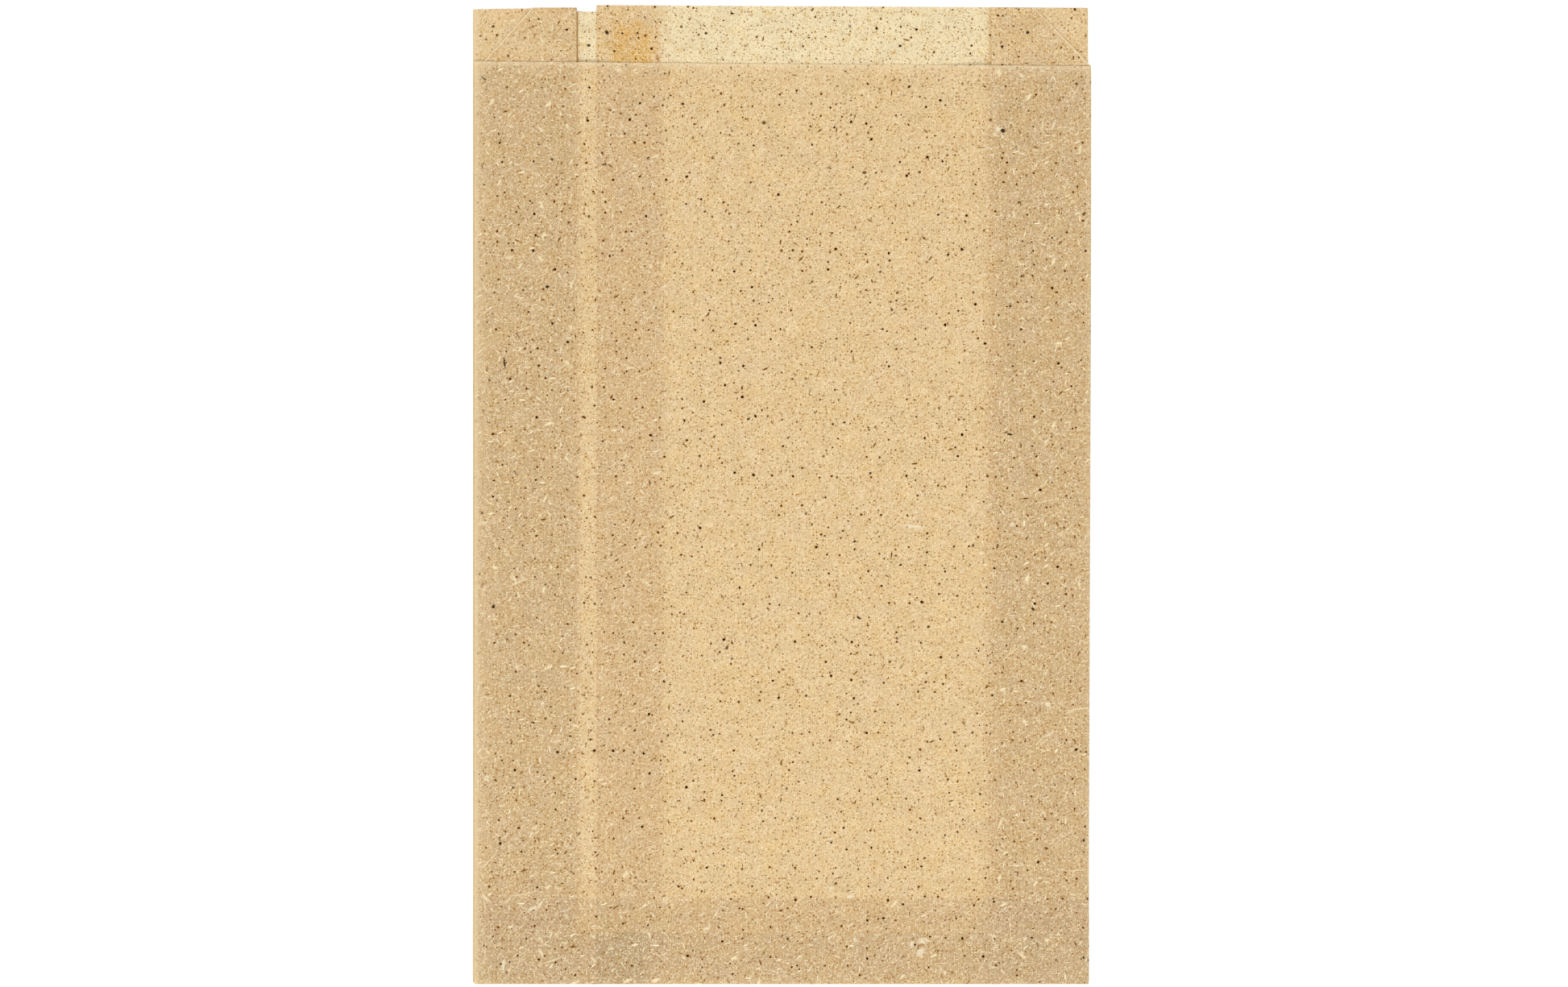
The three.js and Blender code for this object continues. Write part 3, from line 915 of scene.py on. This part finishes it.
# %% List of marks
DARK, BROWN, RUST, PALE = "221200", "5A3400", "A4661A", "FBEFD0"
MARKS = [
    # across, up, length, width, angle, colour
    (41.9, 165.9, 1.5, 1.2, 20, PALE),
    (42.84, 165.6, 0.95, 0.85, 0, DARK),
    (-53.8, 120.6, 1.7, 0.40, 97, DARK),
    (-33.98, 184.7, 0.95, 0.75, 60, DARK),
    (47.7, 184.7, 0.75, 0.65, 0, DARK),
    (-57.9, 175.8, 1.25, 0.32, -35, DARK),
    (-45.5, 135.3, 0.80, 0.60, 0, DARK),
    (-24.1, 179.7, 1.5, 0.7, 80, RUST),
    # a painted shadow in the rust colour: the dark gap between the front's edge and the back's at the
    # left fold
    (-59.4, 164.0, 8.5, 0.30, 90, RUST),
    (-6.5, 109.7, 0.65, 0.50, 30, DARK),
    (-10.7, 65.3, 0.85, 0.60, 60, BROWN),
    (-56.0, 73.3, 0.90, 0.50, 45, DARK),
    (-3.5, 167.2, 0.85, 0.75, 0, BROWN),
    (16.0, 157.5, 0.80, 0.65, 0, BROWN),
    (48.7, 72.8, 0.80, 0.50, -40, DARK),
    (41.8, 85.0, 1.1, 0.40, 75, BROWN),
    (47.1, 65.4, 1.4, 1.0, 0, PALE),
    (51.6, 54.2, 1.3, 0.9, -30, PALE),
    (52.7, 166.7, 1.9, 0.50, 65, PALE),
    (-48.35, 14.7, 2.6, 0.80, 15, PALE),
    (-54.05, 3.73, 2.6, 0.75, 85, PALE),
    (26.8, 6.3, 2.2, 1.6, 60, PALE),
    (27.2, 8.4, 1.9, 1.2, 20, PALE),
    (25.2, 7.8, 1.5, 0.8, 70, PALE),
    (26.9, 7.6, 1.4, 0.6, 10, RUST),
    (25.8, 7.7, 0.50, 0.45, 0, DARK),
    (9.5, 18.6, 1.4, 0.55, 50, PALE),
    (13.3, 17.0, 1.5, 0.90, 10, PALE),
    (14.1, 8.6, 1.3, 0.60, 90, PALE),
    (58.6, 27.9, 0.62, 0.55, 0, DARK),
    (58.5, 5.2, 0.55, 0.50, 0, DARK),
    (25.6, 88.8, 4.4, 0.75, -2, PALE),
    (14.1, 85.9, 0.60, 0.50, 20, DARK),
    (14.9, 71.1, 1.0, 0.45, -35, DARK),
    (44.2, 106.7, 1.1, 0.45, -12, DARK),
    (38.7, 83.6, 1.0, 0.70, 0, PALE),
    (44.7, 89.2, 1.1, 0.80, 0, PALE),
    (52.1, 98.3, 0.80, 0.70, 0, PALE),
    (-30.5, 12.0, 0.90, 0.40, 10, RUST),
    (-28.7, 21.7, 0.80, 0.60, 0, RUST),
]
print("single marks:", len(MARKS))

# %% Marks
BOLD = {DARK: 0.95, BROWN: 0.9, RUST: 0.6, PALE: 0.62}
CLEAR_EDGE, THIN_EDGE = (0.95, 0.30), (0.80, 0.45)  # pale fibres thin out towards a mark's edge
FRAYED_FROM = 1.2  # the length from which an outline frays in coarser lobes
FACE_DEPTH = 0.3  # under 1, so that a mark stays on its own face
fray_settings = {"Vector": in_sheet, "Scale": 1 / 0.6, "Detail": 3.0, "Roughness": 0.7}
rough_outline = around(grain, 1.0, 0.0)
frayed_outline = around(add(tree, "TexNoise", fray_settings), 2.4, 0.0)
for across_mm, up_mm, length, width, angle, colour in MARKS:
    girth, face = on_top(across_mm, up_mm)
    placing = {
        "Vector": in_sheet,
        "Location": (girth, up_mm, face),
        "Rotation": (0, 0, math.radians(angle)),
        "Scale": (length / 2, width / 2, FACE_DEPTH),
    }
    local = add(tree, "Mapping", placing, vector_type="TEXTURE")
    reach = add(tree, "VectorMath", {0: local}, operation="LENGTH").outputs["Value"]
    reach = total(reach, frayed_outline if length > FRAYED_FROM else rough_outline)
    mask = before(reach, *(THIN_EDGE if colour == PALE else CLEAR_EDGE))
    tone = painted(tone, both(mask, BOLD[colour]), colour)
print("nodes with all marks:", len(tree.nodes))

# %% [markdown]
# ### Folds and cuts
#
# The side folds and the bottom crease are painted a shade paler. Along the knife cuts of the front
# panel and the gussets the fresh fibres are pale, with a painted highlight where the cut edges
# catch the light. A pale edge could be read from the mesh's curvature, but this paper curves the
# same way at every fold, and only these are pale. So each is laid along its own line.

# %% Pale folds
from_left = add(tree, "Math", {0: across, 1: left_front}, operation="SUBTRACT")
from_right = add(tree, "Math", {0: half_width, 1: across}, operation="SUBTRACT")
pale_left = total(both(before(from_left, 0.7, 0.7), 0.55), both(before(from_left, 2.2, 1.8), 0.22))
pale_right = both(before(from_right, 0.7, 0.7), 0.28)
tone = painted(tone, total(pale_left, pale_right), "EBD3A8")
tone = painted(tone, both(before(up, 1.2, 0.5), 0.10), "DFC08A")
print("pale folds at", round(left_front, 1), "and", round(half_width, 1), "mm, and at the bottom")

# %% Cut fibres and painted edge highlight
SLANT_FUZZ = 0.36  # pale fibres and painted highlight reach this far from a slanting cut
near_cut = total(both(past(above_cut, -0.6, 0.3), 0.5), both(past(above_cut, -1.8, 1.4), 0.25))
on_left_slant = both(left_slant_ply, before(left_slant_gap, SLANT_FUZZ, 0.08), left_side)
on_right_slant = both(right_slant_ply, before(right_slant_gap, SLANT_FUZZ, 0.08), right_side)
on_slants = both(above, total(on_left_slant, on_right_slant), 1.4)
fibres_and_edge_highlight = total(both(front_ply, near_cut), on_slants)
# Pale cut fibres, with a painted highlight where the cut edges catch the light.
tone = painted(tone, both(fibres_and_edge_highlight, 0.5), "F8E4BC")

# A thin brown painted shadow, cast by the left gusset's inner fold on the back beside it.
painted_fold_shadow = both(past(across, left_inner - 0.08, 0.1), before(across, left_inner + 0.24, 0.2))
tone = painted(tone, both(above, painted_fold_shadow, 0.85), "AE8348")
print("cut fibres", SLANT_FUZZ, "mm long")

# %% [markdown]
# ### The surface
#
# Uncoated paper scatters light evenly: high roughness, a low specular level and no clear
# highlight. Its IOR is near that of cellulose and size, about 1.45. Displacement could raise the
# fibre grain, but it is only some hundredths of a millimetre high, so a bump is enough.

# %% Shader
TOOTH = 0.00006  # metres, the height of the felted grain
tooth = total(both(grain, 0.6), both(shade_cloud, 0.4))
bump = add(tree, "Bump", {"Height": tooth, "Distance": TOOTH, "Strength": 0.6})
surface = {"Base Color": tone, "Roughness": 0.88, "IOR": 1.45, "Specular IOR Level": 0.07}
shader = add(tree, "BsdfPrincipled", {**surface, "Normal": bump})
add(tree, "OutputMaterial", {"Surface": shader})
bag.data.materials.append(paper)
print("nodes in the paper:", len(tree.nodes))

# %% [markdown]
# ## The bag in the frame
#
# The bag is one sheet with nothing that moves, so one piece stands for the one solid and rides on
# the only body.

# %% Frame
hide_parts("paper_bag")
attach(bag, "root")

# %% [markdown]
# ## The table
#
# The bag lies on a white table. More light could make the table white, but it would bleach the
# bag too. So the table is a pale matt laminate that glows only for rays from the camera and for
# reflections: it looks white, takes the bag's soft shadow, and sends no extra light up at the bag.

# %% Floor
FLOOR_SIZE = 6.0  # metres
FLOOR_CLEAR = 0.0002  # metres below the bag
half = FLOOR_SIZE / 2
corners = [(-half, -half, 0), (half, -half, 0), (half, half, 0), (-half, half, 0)]
floor_data = bpy.data.meshes.new("floor")
floor_data.from_pydata(corners, [], [(0, 1, 2, 3)])
floor = bpy.data.objects.new("floor", floor_data)
floor.location.z = bag_low[2] - FLOOR_CLEAR
bpy.context.collection.objects.link(floor)
print("floor, m:", FLOOR_SIZE)

# %% Matt laminate
GLOW = 0.45
table = bpy.data.materials.new("matt_white_laminate")
table.use_nodes = True
table.node_tree.nodes.clear()
rays = add(table.node_tree, "LightPath").outputs
reflected = {0: rays["Is Glossy Ray"], 1: rays["Is Transmission Ray"]}
reflected = add(table.node_tree, "Math", reflected, operation="MAXIMUM")
seen = {0: rays["Is Camera Ray"], 1: reflected}
seen = add(table.node_tree, "Math", seen, operation="MAXIMUM")
glow_level = add(table.node_tree, "Math", {0: seen, 1: GLOW}, operation="MULTIPLY")
matt = add(table.node_tree, "BsdfDiffuse", {"Color": linear("F2F2F2")})
glow = add(table.node_tree, "Emission", {"Strength": glow_level})
laid = add(table.node_tree, "AddShader", {0: matt, 1: glow})
add(table.node_tree, "OutputMaterial", {"Surface": laid})
floor_data.materials.append(table)
print("nodes in the laminate:", len(table.node_tree.nodes))

# %% [markdown]
# ## Light
#
# The bag was lit softly from all round, with a little more from its foot, which leaves a hair of
# shadow above the front panel's cut edge. One large lamp could do it, but a pale sky keeps the
# level even over the whole sheet, and two soft lamps then add the direction.

# %% Sky
SKY_LIGHT = 0.655
world = bpy.data.worlds.new("studio")
bpy.context.scene.world = world
world.use_nodes = True
sky = world.node_tree
sky.nodes.clear()
sky_rays = add(sky, "LightPath").outputs
levels = {0: sky_rays["Is Camera Ray"], "To Min": SKY_LIGHT, "To Max": 1.0}
sky_level = add(sky, "MapRange", levels)
sky_shade = add(sky, "Background", {"Color": (1, 1, 1, 1), "Strength": sky_level})
add(sky, "OutputWorld", {"Surface": sky_shade})
print("sky light:", SKY_LIGHT)


# %% Lamps
def soft_box(name, place, size, power):
    """A round lamp that shines at the middle of the bag, in metres and watts."""
    data = bpy.data.lights.new(name, "AREA")
    data.shape = "DISK"
    data.size = size
    data.energy = power
    made = bpy.data.objects.new(name, data)
    made.location = place
    direction = -made.location.copy()
    made.rotation_euler = direction.to_track_quat("-Z", "Y").to_euler()
    bpy.context.collection.objects.link(made)
    print(name, power, "W")


soft_box("soft_box_foot", (-0.25, -1.3, 1.25), 0.9, 13.1)
soft_box("soft_box_head", (0.5, 1.2, 1.5), 1.2, 6.0)
bpy.context.scene.view_settings.view_transform = "Standard"
